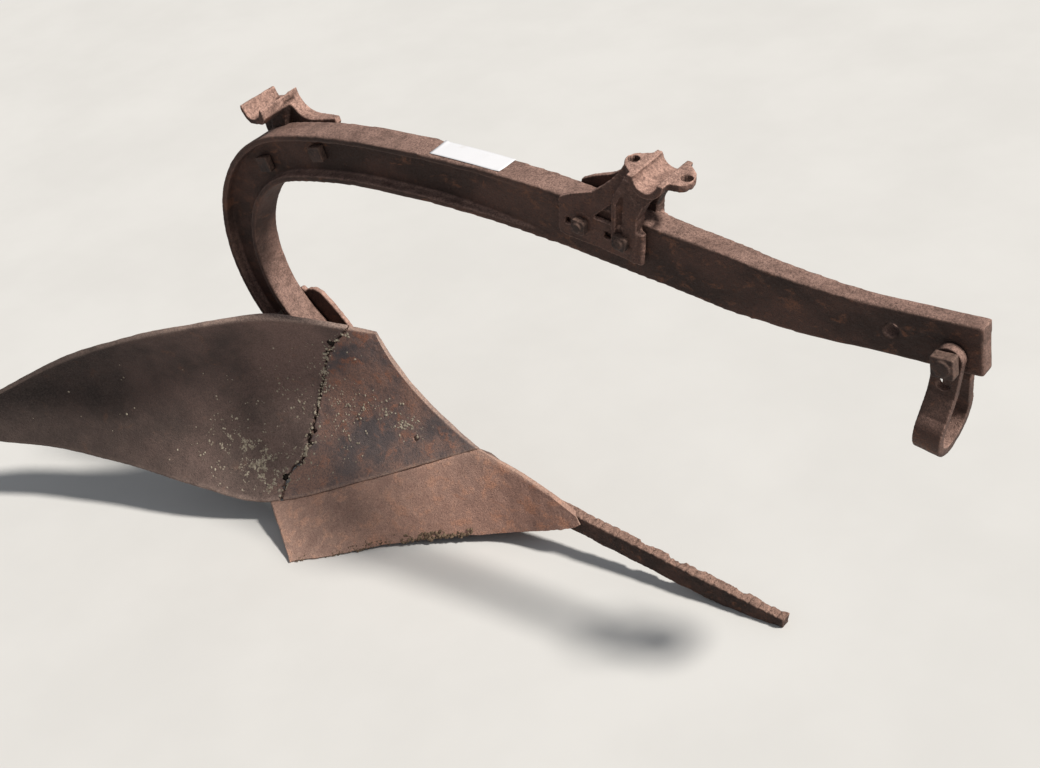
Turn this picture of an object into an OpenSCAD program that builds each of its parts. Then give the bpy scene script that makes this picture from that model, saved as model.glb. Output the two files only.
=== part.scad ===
// Right-hand moldboard plough bottom with its gooseneck beam.
// +X runs forward along the furrow, +Y to the landside, +Z up; millimetres.
// The origin lies on the landside sole, under the beam's middle plane.

/* [Beam] */
// Distance from the origin back to the foot of the shank
foot_back = 104; // [101:1:107]
// Height of the shank's foot above the ground
foot_z = 204.5; // [202:0.5:207]
// Lean of the shank from upright, to the rear
shank_lean = 42.4; // [41:0.2:44]
// Straight length of the shank at its foot
shank_l = 40; // [37:1:43]
// Length over which the shank bends upright
bend_l = 65; // [60:1:70]
// Radius of the gooseneck's middle line
neck_r = 158.5; // [155:0.5:162]
// Length of the crown over the top of the gooseneck
crown_l = 139; // [130:1:148]
// Length over which the beam begins to fall
fall_l = 330; // [310:1:350]
// Fall of the beam's straight slope, in degrees
slope_deg = 10.4; // [10:0.1:11]
// Length of the straight slope
slope_l = 126; // [110:1:140]
// Length over which the beam levels out again
level_l = 150; // [130:1:170]
// Length of the level front bar
front_l = 106; // [100:1:120]
// Depth of the beam at the shank's foot
foot_d = 54; // [50:1:58]
// Depth of the beam round the gooseneck
neck_d = 59; // [55:1:62]
// Depth of the beam in the middle
mid_d = 64; // [61:1:67]
// Depth of the front bar
front_d = 52; // [48:1:56]
// Width of the flanges round the gooseneck
neck_w = 38; // [34:1:42]
// Width of the beam in the middle
mid_w = 30; // [28:1:34]
// Width of the front bar
front_w = 19; // [16:1:22]
// Thickness of the flanges
flange_t = 8; // [6:0.5:10]
// Thickness of the web
web_t = 11; // [9:0.5:14]

/* [Moldboard] */
// Thickness of the moldboard, shin and share plates
plate_t = 8; // [6:0.5:9]
// Gap kept between pieces that lie against each other
seat_gap = 0.3; // [0.2:0.05:0.5]
// Width of the rough weld joint between shin and moldboard
weld_gap = 1.5; // [1:0.5:3]

/* [Landside] */
// Length of the landside behind the origin
heel_l = 230; // [215:5:250]
// Length of the landside in front of the origin
land_l = 190; // [170:5:205]
// Height of the landside
land_h = 96; // [80:1:105]
// Thickness of the landside
land_t = 10; // [8:0.5:12]
// Width of the sole flange under the frog
sole_w = 36; // [30:1:40]

/* [Bar point] */
// Thickness of the bar point
bar_t = 13; // [10:0.5:16]
// Depth of the bar point
bar_d = 28; // [24:1:32]
// Distance from the origin forward to the bar's tip
bar_tip = 560; // [530:1:590]
// Height of the bar's upper edge at its tip
bar_nose = 14; // [13:0.5:16]
// Slope of the bar point down to the front, in degrees
bar_deg = 9.8; // [9:0.2:11]
// Length of the bar point
bar_l = 640; // [600:5:680]

/* [Saddles] */
// Bore of the rear half-round seat
rear_bore = 35; // [30:1:40]
// Bore of the middle half-round seat
mid_bore = 27; // [24:1:30]
// Length of the troughs across the beam
trough_l = 54; // [48:1:60]
// Wall of the troughs
trough_wall = 7; // [5:0.5:9]
// Distance between the holes in the ears
ear_span = 60; // [56:1:66]
// Bore of the holes in the ears
ear_bore = 12; // [10:0.5:14]
// Thickness of the ears
ear_t = 9; // [7:0.5:12]
// Thickness of the legs beside the beam
leg_t = 10; // [8:0.5:12]
// Height of the trough's rim over the beam's middle line
saddle_h = 91; // [86:1:96]
// Bolts that hold the saddles and the frog
bolt_d = 12; // [10:0.5:14]
// Room round each bolt in its hole
bolt_play = 0.6; // [0.4:0.1:1]
// Width of the square heads and nuts
head_w = 19; // [17:0.5:21]
// Height of the square heads and nuts
head_t = 9; // [7:0.5:11]

/* [Clevis] */
// Thickness of the clevis strap
strap_t = 10; // [8:0.5:12]
// Width of the clevis strap
strap_w = 27; // [24:1:30]
// Diameter of the clevis bolt
pin_d = 16; // [14:0.5:18]
// Length of the clevis from its bolt to the inside of its bend
clevis_l = 106; // [98:1:114]
// Inside radius of the clevis bend
bend_r = 24; // [20:1:28]
// Lean of the hanging clevis to the rear, in degrees
clevis_lean = 12; // [0:1:20]
// Distance of the clevis bolt behind the beam's front end
clevis_back = 28; // [24:1:34]

/* [Hidden] */
$fn = 48;
// Facets of the large arcs that show
fine = 96;
// Longer than the plough, and deeper than any hole in it
far = 2000;
through = 100;

// Moves [x, z] in the vertical plane, and across it
module at_xz(p) {
    translate([p[0], 0, p[1]]) children();
}
// Extrudes an [x, z] outline between y0 and y1
module upright(y0, y1) {
    translate([0, y1, 0]) rotate([90, 0, 0]) linear_extrude(y1 - y0) children();
}
module cross_bore(d) {
    rotate([90, 0, 0]) cylinder(d = d, h = through, center = true);
}
module bolt_hole() {
    cross_bore(bolt_d + bolt_play);
}
module square_hole(w) {
    cube([w, 2 * through, w], center = true);
}
// Square head or nut whose middle lies at y
module square_head(y, w, t) {
    translate([0, y, 0]) cube([w, t, w], center = true);
}
module shank(y0, y1, d) {
    translate([0, y0, 0]) rotate([-90, 0, 0]) cylinder(d = d, h = y1 - y0);
}

// Beam path from the shank's foot: columns length, turn in degrees
bend_turn = 25;
crown_turn = 10;
crown_tilt = 0.8;
level_deg = 1;
neck_turn = 90 + shank_lean - bend_turn - crown_turn - crown_tilt;
neck_l = neck_r * PI / 180 * neck_turn;
beam_path = [
    [shank_l, 0],
    [bend_l, -bend_turn],
    [neck_l, -neck_turn],
    [crown_l, -crown_turn],
    [fall_l, -slope_deg - crown_tilt],
    [slope_l, 0],
    [level_l, slope_deg + crown_tilt - level_deg],
    [front_l, 0]];
path_start = [-foot_back, foot_z, 90 + shank_lean];
n_seg = len(beam_path);

// A step of length l from heading h, turning by t along the way
function hop(l, h, t) =
    l * (abs(t) < 0.001 ? 1 : sin(t / 2) / (t / 2 * PI / 180)) * [cos(h + t / 2), sin(h + t / 2)];
// Place and heading at the start of path segment i
function seg_start(i) = i == 0 ? path_start :
    let (p = seg_start(i - 1), g = beam_path[i - 1], d = hop(g[0], p[2], g[1]))
    [p[0] + d[0], p[1] + d[1], p[2] + g[1]];
starts = [for (i = [0:n_seg - 1]) seg_start(i)];
function seg_s(i) = i == 0 ? 0 : seg_s(i - 1) + beam_path[i - 1][0];
seg_from = [for (i = [0:n_seg]) seg_s(i)];
beam_len = seg_from[n_seg];
function seg_of(s, i = 0) = i == n_seg - 1 || s <= seg_from[i + 1] ? i : seg_of(s, i + 1);
// Place [x, z, heading] of the beam's middle line at distance s
function beam_at(s) =
    let (i = seg_of(s), g = beam_path[i], f = (s - seg_from[i]) / g[0],
         d = hop(g[0] * f, starts[i][2], g[1] * f))
    [starts[i][0] + d[0], starts[i][1] + d[1], starts[i][2] + g[1] * f];
// Children stand at distance s: x along the beam, z across it
module beam_frame(s) {
    p = beam_at(s);
    at_xz(p) rotate([0, -p[2], 0]) children();
}

// Places along the beam: where its parts are bolted on, and where its pockets end
crown_s = seg_from[3];
fall_s = seg_from[4];
slope_s = seg_from[5];
mid_s = slope_s + 38;
clevis_s = beam_len - clevis_back;
clevis_n = -8;
hitch_s = beam_len - 88;
hitch_n = 2;
hitch_bore = 14;
foot_bolts = [26, 56];
// Bolts of the saddles in the beam's frame: along the beam, across it
crown_bolts = [[-50, -9], [51, 1.5]];
mid_bolts = [[-75, 10], [-26, 10]];

// Depth and width of the beam
depth_table = [[0, foot_d], [crown_s, neck_d], [fall_s, neck_d], [slope_s + 60, mid_d],
               [seg_from[6], mid_d], [seg_from[7], front_d], [beam_len, front_d]];
function depth_at(s) = lookup(s, depth_table);
x_crown = beam_at(fall_s)[0];
x_slope = beam_at(slope_s)[0];
x_front = beam_at(seg_from[7])[0];
width_table = [[-far, neck_w], [x_crown, neck_w], [x_slope, mid_w], [x_front, front_w], [far, front_w]];
function width_at(x) = lookup(x, width_table);

// Upper and lower side of the beam between s0 and s1, drawn in by inset
outline_step = 3;
outline_s = [for (i = [0:n_seg - 1], n = max(1, ceil(abs(beam_path[i][1]) / outline_step)), k = [0:n - 1])
             seg_from[i] + beam_path[i][0] * k / n];
function side_pt(s, side, inset) =
    let (p = beam_at(s), r = side * (depth_at(s) / 2 - inset))
    [p[0] + r * cos(p[2] + 90), p[1] + r * sin(p[2] + 90)];
function outline(inset, s0, s1) =
    let (ss = concat([s0], [for (s = outline_s) if (s > s0 + 1 && s < s1 - 1) s], [s1]), n = len(ss))
    concat([for (s = ss) side_pt(s, 1, inset)], [for (k = [1:n]) side_pt(ss[n - k], -1, inset)]);

// Pockets beside the web, which run out to the full width behind the middle saddle
pocket_s0 = 10;
pocket_s1 = slope_s + 10;
fade_x0 = x_crown + 110;
fade_x1 = fade_x0 + 180;
module beam_plan() {
    n = len(width_table);
    polygon(concat([for (a = width_table) [a[0], a[1] / 2]],
                   [for (k = [1:n]) let (a = width_table[n - k]) [a[0], -a[1] / 2]]));
}
module pocket_plan(side) {
    polygon([[-far, side * web_t / 2], [fade_x0, side * web_t / 2], [fade_x1, side * neck_w / 2],
             [fade_x1, side * neck_w], [-far, side * neck_w]]);
}
module beam() {
    color("saddlebrown") difference() {
        intersection() {
            upright(-neck_w, neck_w) polygon(outline(0, 0, beam_len));
            translate([0, 0, -far / 2]) linear_extrude(far) beam_plan();
        }
        for (side = [-1, 1]) intersection() {
            upright(-neck_w, neck_w) polygon(outline(flange_t, pocket_s0, pocket_s1));
            translate([0, 0, -far / 2]) linear_extrude(far) pocket_plan(side);
        }
        for (b = crown_bolts) beam_frame(crown_s) at_xz(b) bolt_hole();
        for (b = mid_bolts) beam_frame(mid_s) at_xz(b) bolt_hole();
        for (s = foot_bolts) beam_frame(s) bolt_hole();
        beam_frame(clevis_s) at_xz([0, clevis_n]) cross_bore(pin_d + pin_play);
        beam_frame(hitch_s) at_xz([0, hitch_n]) cross_bore(hitch_bore);
    }
}

// Moldboard surface: rows of stations from the shin's edge to the tail
// columns: lower x, y, z, upper x, y, z, hollow of the section
stations = [
    [142, 0, 118, 11, 0, 254, 22],
    [10, -70, 76, -74, -42, 275, 42],
    [-124, -131, 38, -122, -70, 284, 52],
    [-212, -169, 59, -205, -123, 279, 46],
    [-316, -195, 79, -289, -156, 259, 36],
    [-419, -226, 97, -393, -193, 222, 26],
    [-500, -264, 109, -491, -240, 175, 12],
    [-545, -290, 122, -545, -272, 148, 3]];
n_st = len(stations);
function st(i) = stations[max(0, min(n_st - 1, i))];
// Smooth curve through four values
function curve(a, b, c, d, t) =
    0.5 * (2 * b + (c - a) * t + (2 * a - 5 * b + 4 * c - d) * t * t + (3 * b - a - 3 * c + d) * t * t * t);
// Station at u, from 0 at the shin's edge to 1 at the tail
function row_at(u) =
    let (w = u * (n_st - 1), i = min(n_st - 2, floor(w)), t = w - i)
    curve(st(i - 1), st(i), st(i + 1), st(i + 2), t);
// Step along u and v over which slopes are taken
du = 0.01;
// The hollow of the section faces aft at the shin and turns square to the plate within this share
hollow_turn = 1 / 5;
hollow_rise = -0.25;
function hollow_dir(u) =
    let (a = row_at(max(0, u - du)), b = row_at(min(1, u + du)),
         d = [b[0] + b[3] - a[0] - a[3], b[1] + b[4] - a[1] - a[4]],
         side = [d[1], -d[0]] / norm(d), k = min(1, u / hollow_turn), mix = [k - 1, 0] + k * side)
    mix / norm(mix);
// Point of the front face at u along the plate and v up it
function face_pt(u, v) =
    let (r = row_at(u), n = hollow_dir(u), q = r[6] * 4 * v * (1 - v))
    [r[0] + (r[3] - r[0]) * v, r[1] + (r[4] - r[1]) * v, r[2] + (r[5] - r[2]) * v]
    + q * [n[0], n[1], hollow_rise];
function face_normal(u, v) =
    let (a = face_pt(min(1, u + du), v) - face_pt(max(0, u - du), v),
         b = face_pt(u, min(1, v + du)) - face_pt(u, max(0, v - du)), c = cross(b, a))
    c / norm(c);
// Where the weld joint runs, as a share of the surface's length at height v
weld_low = 0.268;
weld_high = 0.058;
function weld_u(v) = weld_low - (weld_low - weld_high) * pow(v, 1.6);
surface_l = 1200;

// Closed plate behind the surface: us holds a row of u values for each of nv + 1 heights
module skin(us, nv) {
    nu = len(us[0]) - 1;
    n = (nu + 1) * (nv + 1);
    front = [for (j = [0:nv], i = [0:nu]) face_pt(us[j][i], j / nv)];
    back = [for (j = [0:nv], i = [0:nu]) face_pt(us[j][i], j / nv) - plate_t * face_normal(us[j][i], j / nv)];
    function id(i, j) = j * (nu + 1) + i;
    rim = concat([for (i = [0:nu]) id(i, 0)], [for (j = [1:nv]) id(nu, j)],
                 [for (i = [1:nu]) id(nu - i, nv)], [for (j = [1:nv - 1]) id(0, nv - j)]);
    m = len(rim);
    polyhedron(concat(front, back), concat(
        [for (j = [0:nv - 1], i = [0:nu - 1]) [id(i, j), id(i + 1, j + 1), id(i, j + 1)]],
        [for (j = [0:nv - 1], i = [0:nu - 1]) [id(i, j), id(i + 1, j), id(i + 1, j + 1)]],
        [for (j = [0:nv - 1], i = [0:nu - 1]) [n + id(i, j), n + id(i, j + 1), n + id(i + 1, j + 1)]],
        [for (j = [0:nv - 1], i = [0:nu - 1]) [n + id(i, j), n + id(i + 1, j + 1), n + id(i + 1, j)]],
        [for (k = [0:m - 1]) [rim[k], n + rim[(k + 1) % m], rim[(k + 1) % m]]],
        [for (k = [0:m - 1]) [rim[k], n + rim[k], n + rim[(k + 1) % m]]]));
}
// Faces up the plates, and along the moldboard and the shin
skin_v = 12;
moldboard_u = 26;
shin_u = 8;
// n + 1 values of u from a to b
function spread(a, b, n) = [for (i = [0:n]) a + (b - a) * i / n];
module moldboard() {
    color("rosybrown")
        skin([for (j = [0:skin_v]) spread(weld_u(j / skin_v) + weld_gap / surface_l, 1, moldboard_u)], skin_v);
}
module shin() {
    color("sienna") skin([for (j = [0:skin_v]) spread(0, weld_u(j / skin_v), shin_u)], skin_v);
}
// Children stand on the plates' back at u, v, their z axis pointing away from the plates
module behind_plate(u, v, gap) {
    n = face_normal(u, v);
    translate(face_pt(u, v) - (plate_t + gap) * n) rotate([0, acos(-n[2]), atan2(-n[1], -n[0])]) children();
}

// Share: points of the cutting edge from the nose to the wing, columns x, y, z
share_edge = [[287, -2, 50], [262, -9, 38], [174, -28, 14], [57, -92, 4], [7, -133, 0], [-51, -181, 0]];
// Land edge of the share in front of the seam, columns x, y, z
share_land = [[282, -0.5, 62], [246, -0.5, 82], [204, -0.5, 98]];
share_lip = 2;
share_root = plate_t * 1.2;
seam_steps = 8;
// The seam runs under the first two stations
seam_end = 2 / (n_st - 1);
seam_gap = [0.6, -0.5, -0.4];
n_land = len(share_land);
n_edge = len(share_edge) - 1;
function edge_at(w) =
    let (i = min(n_edge - 1, floor(w)), e = share_edge)
    curve(e[max(0, i - 1)], e[i], e[i + 1], e[min(n_edge, i + 2)], w - i);
function seam_pt(u) = let (r = row_at(u)) [r[0], r[1], r[2]] + seam_gap;
// Columns: cutting edge x, y, z, upper edge x, y, z
share_rows = concat([for (i = [0:n_land - 1]) concat(share_edge[i], share_land[i])],
    [for (k = [0:seam_steps]) let (f = k / seam_steps, w = n_land + (n_edge - n_land) * f)
     concat(edge_at(w), seam_pt(seam_end * f))]);
module share() {
    r = share_rows;
    n = len(r) - 1;
    m = n + 1;
    up = [for (a = r) [a[3], a[4], a[5]]];
    edge = [for (a = r) [a[0], a[1], a[2] + share_lip]];
    low = [for (a = r) [a[0], a[1], a[2]]];
    under = [for (a = r) [a[3], a[4], a[5] - share_root]];
    sides = [[0, m], [m, 2 * m], [2 * m, 3 * m], [3 * m, 0]];
    color("sienna") polyhedron(concat(up, edge, low, under), concat(
        [for (i = [0:n - 1], q = sides) [q[0] + i, q[0] + i + 1, q[1] + i + 1]],
        [for (i = [0:n - 1], q = sides) [q[0] + i, q[1] + i + 1, q[1] + i]],
        [[0, m, 2 * m], [0, 2 * m, 3 * m], [n, 3 * m + n, 2 * m + n], [n, 2 * m + n, m + n]]));
}

// Landside, with a sole flange under the frog
bar_y = seat_gap;
land_y = bar_y + bar_t + seat_gap;
sole_t = 8;
land_bolts = [[-110, 56], [60, 60]];
land_outline = [[-heel_l, 0], [land_l, 0], [land_l + 24, 22], [land_l + 10, 60], [land_l - 50, land_h],
                [-heel_l + 30, land_h], [-heel_l, land_h - 34]];
module landside() {
    color("dimgray") difference() {
        union() {
            upright(land_y, land_y + land_t) polygon(land_outline);
            translate([-heel_l, land_y + land_t - sole_w, 0]) cube([heel_l + 100, sole_w, sole_t]);
        }
        for (p = land_bolts) at_xz(p) bolt_hole();
    }
}

// Bar point, with nicks across its upper edge
ridge_n = 23;
ridge_step = 12;
ridge_w = 3;
module bar_point() {
    color("peru") intersection() {
        at_xz([bar_tip, bar_nose]) rotate([0, bar_deg, 0]) difference() {
            translate([-bar_l, bar_y, -bar_d]) cube([bar_l, bar_t, bar_d]);
            for (k = [1:ridge_n]) translate([-ridge_step * k, bar_y - 1, 0])
                rotate([0, 45, 0]) cube([ridge_w, bar_t + 2, ridge_w]);
        }
        upright(-through, through) translate([-far / 2, 0]) square(far);
    }
}

// Frog: web between the landside and the curved plates, x, z
frog_y0 = -8;
seat_y0 = -12;
cheek_t = 9;
cheek_y = neck_w / 2 + seat_gap;
frog_low = sole_t + 0.5;
frog_web = [[-160, frog_low], [78, frog_low], [116, 50], [136, 72], [122, 88], [72, 108], [28, 130],
            [-8, 152], [-34, 172], [-46, 190], [-50, 210], [-54, 226], [-62, 238],
            [-100, 236], [-140, 230], [-166, 170]];
// Heel block and far cheek in the shank's frame: along it, across it
heel_block = [20, 56];
cheek = [[-20, -28], [70, -28], [76, 0], [70, 28], [-20, 28]];
shank_room = [200, 90];
shank_room_n = -40;
module frog() {
    color("brown") difference() {
        union() {
            upright(frog_y0, 0) polygon(frog_web);
            frog_boot();
            for (p = seats) frog_seat(p[0], p[1], p[2]);
            beam_frame(0) {
                translate([-heel_block[0], seat_y0, -heel_block[1] / 2])
                    cube([heel_block[0] - seat_gap, neck_w / 2 + cheek_t - seat_y0, heel_block[1]]);
                upright(cheek_y, cheek_y + cheek_t) polygon(cheek);
            }
        }
        beam_frame(0) upright(-cheek_y, cheek_y) translate([-seat_gap, shank_room_n]) square(shank_room);
        for (p = land_bolts) at_xz(p) bolt_hole();
        for (s = foot_bolts) beam_frame(s) bolt_hole();
    }
}

// Open pocket of the frog in front of the beam's foot: rim and hollow, x, z
boot_y = cheek_y + cheek_t - 1;
boot_rim = [[-150, 236], [-131, 266], [-118, 276], [-106, 278], [-96, 275], [-85, 264], [-75, 253], [-60, 234],
            [-47, 212], [-41, 196], [-56, 178], [-150, 184]];
boot_pocket = [[-170, 205], [-66, 205], [-69, 224], [-79, 242], [-84, 252], [-84, 300], [-170, 300]];
// The near wall is lower, near_rim[1], behind near_rim[0]
near_rim = [-85, 244];
near_wall = 4;
module frog_boot() {
    difference() {
        upright(frog_y0, boot_y) polygon(boot_rim);
        upright(0, cheek_y + 1) polygon(boot_pocket);
        upright(frog_y0 - 1, near_wall) translate(near_rim - [through, 0]) square(through);
    }
}

// Pads of the frog against the plates: columns u, v, length
seats = [[0.13, 0.8, 14], [0.07, 0.3, 8], [0.15, 0.5, 14]];
pad_d = 16;
pad_neck = 4;
pad_root_d = 26;
module frog_seat(u, v, l) {
    behind_plate(u, v, 2 * seat_gap) {
        cylinder(d = pad_d, h = l);
        translate([0, 0, pad_neck]) cylinder(d = pad_root_d, h = l - pad_neck);
    }
}

// Brace from the landside's heel to the moldboard
brace_at = [0.46, 0.42];
brace_pad_d = 26;
brace_pad_t = 14;
brace_d = 17;
brace_disc_d = 40;
brace_disc = 8;
brace_in = 34;
brace_foot = [brace_in - heel_l, land_y - seat_gap - brace_disc, 62];
module rod(p, q, d) {
    v = q - p;
    translate(p) rotate([0, acos(v[2] / norm(v)), atan2(v[1], v[0])]) cylinder(d = d, h = norm(v));
}
module brace() {
    n = face_normal(brace_at[0], brace_at[1]);
    head = face_pt(brace_at[0], brace_at[1]) - (plate_t + seat_gap + brace_pad_t - 3) * n;
    color("dimgray") {
        behind_plate(brace_at[0], brace_at[1], seat_gap) cylinder(d = brace_pad_d, h = brace_pad_t);
        rod(head, brace_foot + [0, 1, 0], brace_d);
        translate(brace_foot) rotate([-90, 0, 0]) cylinder(d = brace_disc_d, h = brace_disc);
    }
}

// Solid half-round seat for a bore d, rim at z = 0; the bore is cut by its owner
module half_pipe(d) {
    upright(-trough_l / 2, trough_l / 2) intersection() {
        circle(r = d / 2 + trough_wall);
        translate([-through, -2 * through]) square(2 * through);
    }
}
// Ears at the seat's rim: outline from the rim outward, and their holes
ear_w = 22;
ear_end = 10;
ear_rim = mid_bore / 2;
ear_x = ear_span / 2;
ear_outline = [[ear_rim - 6, -trough_l / 2], [ear_rim - 6, trough_l / 2], [ear_rim, trough_l / 2],
               [ear_x + 4, ear_w / 2], [ear_x + 8, ear_end / 2],
               [ear_x + 8, -ear_end / 2], [ear_x + 4, -ear_w / 2], [ear_rim, -trough_l / 2]];
module ears() {
    for (side = [-1, 1])
        translate([0, 0, -ear_t]) linear_extrude(ear_t) polygon([for (p = ear_outline) [side * p[0], p[1]]]);
}
module ear_holes() {
    for (side = [-1, 1]) translate([side * ear_x, 0, 0]) cylinder(d = ear_bore, h = through, center = true);
}
module trough_bore(d) {
    rotate([90, 0, 0]) cylinder(d = d, h = 2 * through, center = true);
}

// Middle saddle in the beam's frame: along the beam, across it
leg_y = width_at(beam_at(mid_s)[0] - 100) / 2 + seat_gap;
foot_strip = [101, 32];
strip_at = [-104, -12];
post_x = -36;
leg_post = [[post_x, strip_at[1]], [-3, strip_at[1]], [-3, 26], [-9, 29], [-9, 41], [-3, 58],
            [6, saddle_h - mid_bore / 2 - 4], [-16, saddle_h - mid_bore / 2], [post_x, saddle_h - ear_t]];
arm_r = 59;
arm_t = 17;
arm_low = 31;
arm_x = -102;
arm_c = [arm_x, arm_low + arm_r];
window_at = [-96, 22];
window = [post_x - window_at[0], 40];
slot_w = 9;
slots = [[-92, 7], [-45, 7]];
module leg_outline(open) {
    difference() {
        union() {
            translate(strip_at) square(foot_strip);
            polygon(leg_post);
            difference() {
                translate([arm_x, 0]) square([post_x - arm_x, saddle_h - ear_t]);
                translate(arm_c) circle(r = arm_r, $fn = fine);
            }
        }
        if (open) difference() {
            translate(window_at) square(window);
            translate(arm_c) circle(r = arm_r + arm_t, $fn = fine);
        }
    }
}
module mid_saddle() {
    color("darkslategray") beam_frame(mid_s) difference() {
        union() {
            at_xz([0, saddle_h]) {
                half_pipe(mid_bore);
                ears();
            }
            upright(-leg_y - leg_t, -leg_y) leg_outline(true);
            upright(leg_y, leg_y + leg_t) leg_outline(false);
        }
        at_xz([0, saddle_h]) trough_bore(mid_bore);
        at_xz([0, saddle_h]) ear_holes();
        for (b = mid_bolts) at_xz(b) bolt_hole();
        for (p = slots) at_xz(p) square_hole(slot_w);
    }
}
bolt_end = 3;
module mid_saddle_bolts() {
    end = leg_y + leg_t + head_t + bolt_end;
    color("gray") beam_frame(mid_s) for (b = mid_bolts) at_xz(b) {
        shank(-end, end, bolt_d);
        for (side = [-1, 1]) square_head(side * (leg_y + leg_t + head_t / 2 + seat_gap), head_w, head_t);
    }
}

// Rear saddle in the beam's frame at the crown's start: along the beam, across it
rear_seat = [-0.6, neck_d / 2 + 44];
rear_leg_y = cheek_y;
rear_leg_t = 8;
rear_boss = [[15, 0], [29, 0], [27, -16], [16, -28], [0, -30]];
rear_boss_y = 12;
boss_d = head_w + 6;
web_y = web_t / 2 + seat_gap;
fin_r = 30.5;
fin_t = 7;
fin_y = 37;
fin_l = 36;
fin_c = [fin_r, neck_d / 2 + 1 + fin_r];
fin_n = fin_c[1] - fin_r - fin_t;
rear_leg = [[-64, -24], [-40, -28], [62, -16], [66, neck_d / 2 - 1], [fin_r, neck_d / 2 + 1], [fin_r, fin_c[1]],
            [0, fin_c[1]], rear_seat + [-20, -18], [-62, neck_d / 2 + 4]];
module rear_saddle() {
    color("darkslategray") beam_frame(crown_s) difference() {
        union() {
            at_xz(rear_seat) half_pipe(rear_bore);
            upright(-trough_l / 2 + 4, rear_boss_y) polygon([for (p = rear_boss) rear_seat + p]);
            upright(rear_leg_y, rear_leg_y + rear_leg_t) difference() {
                polygon(rear_leg);
                translate(fin_c) circle(r = fin_r, $fn = fine);
            }
            rear_fin();
            for (b = crown_bolts) at_xz(b) shank(web_y, web_y + rear_leg_y, boss_d);
        }
        at_xz(rear_seat) trough_bore(rear_bore);
        for (b = crown_bolts) at_xz(b) bolt_hole();
    }
}
// Flange round the leg's hollow, from under the seat until it tapers out along the beam
fin_top = rear_seat[1] - rear_bore / 2 - 1;
module rear_fin() {
    upright(rear_leg_y, fin_y) intersection() {
        difference() {
            translate(fin_c) circle(r = fin_r + fin_t, $fn = fine);
            translate(fin_c) circle(r = fin_r, $fn = fine);
        }
        translate([-fin_t, fin_n]) square([fin_r + fin_t, fin_top - fin_n]);
    }
    translate([0, rear_leg_y, fin_n]) linear_extrude(fin_t)
        polygon([[fin_r - 1, 0], [fin_r - 1, fin_y - rear_leg_y],
                 [fin_r + fin_l, rear_leg_t + 1], [fin_r + fin_l, 0]]);
}
web_head_y = -web_y - head_t / 2;
module rear_saddle_bolts() {
    nut_y = rear_leg_y + rear_leg_t + head_t / 2 + seat_gap;
    color("gray") beam_frame(crown_s) for (b = crown_bolts) at_xz(b) {
        shank(-web_t / 2 - head_t, nut_y + head_t / 2 + bolt_end, bolt_d);
        for (y = [web_head_y, nut_y]) square_head(y, head_w, head_t);
    }
}

frog_head_w = head_w - 1;
module frog_bolts() {
    nut_y = cheek_y + cheek_t + head_t / 2 + seat_gap;
    land_head_y = frog_y0 - head_t / 2 - seat_gap;
    color("gray") {
        for (s = foot_bolts) beam_frame(s) {
            shank(-web_t / 2 - head_t, nut_y + head_t / 2 + bolt_end, bolt_d);
            for (y = [web_head_y, nut_y]) square_head(y, frog_head_w, head_t);
        }
        for (p = land_bolts) at_xz(p) {
            shank(frog_y0 - head_t, land_y + land_t, bolt_d);
            square_head(land_head_y, frog_head_w, head_t);
        }
    }
}

// Clevis: strap round the beam's front end, hanging from its bolt
strap_play = 1;
pin_play = 0.8;
pin_head = 22;
pin_head_t = 12;
strap_in = front_w / 2 + strap_play;
strap_hole_z = front_d / 2 + clevis_n + hitch_bore / 2 + 2;
eye_top = 30;
eye_low = -38;
eye_cut = 20;
// Loop seen from the front: half-width w at the eyes, bend radius r, length l to the bend
module loop_outline(w, r, l) {
    polygon([[-w, eye_top], [-w, eye_low], [-r, r - l], [r, r - l], [w, eye_low], [w, eye_top]]);
    translate([0, r - l]) circle(r = r, $fn = fine);
}
module strap_band() {
    difference() {
        loop_outline(strap_in + strap_t, bend_r + strap_t, clevis_l + strap_t);
        loop_outline(strap_in, bend_r, clevis_l);
        translate([-strap_in, eye_cut]) square([2 * strap_in, through]);
    }
}
module clevis_frame() {
    beam_frame(clevis_s) at_xz([0, clevis_n]) rotate([0, beam_at(clevis_s)[2] + clevis_lean, 0]) children();
}
module clevis_strap() {
    color("sienna") clevis_frame() difference() {
        intersection() {
            translate([-strap_w / 2, 0, 0]) rotate([90, 0, 90]) linear_extrude(strap_w) strap_band();
            union() {
                cross_bore(strap_w);
                upright(-through / 2, through / 2) translate([-strap_w / 2, -far]) square([strap_w, far]);
            }
        }
        cross_bore(pin_d + pin_play);
        at_xz([0, -strap_hole_z]) cross_bore(hitch_bore);
    }
}
module clevis_bolt() {
    end = strap_in + strap_t + pin_head_t + bolt_end;
    head_y = strap_in + strap_t + strap_play + pin_head_t / 2;
    color("gray") beam_frame(clevis_s) at_xz([0, clevis_n]) {
        shank(-end, end, pin_d);
        for (side = [-1, 1]) square_head(side * head_y, pin_head, pin_head_t);
    }
}

beam();
frog();
moldboard();
shin();
share();
landside();
bar_point();
brace();
rear_saddle();
rear_saddle_bolts();
mid_saddle();
mid_saddle_bolts();
frog_bolts();
clevis_strap();
clevis_bolt();
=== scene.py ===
"""Looks of a rusty moldboard plough bottom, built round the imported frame. Metres, the frame's axes."""
import math
import random

import bmesh
import bpy
import numpy as np
from mathutils import Matrix, Vector, noise


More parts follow.
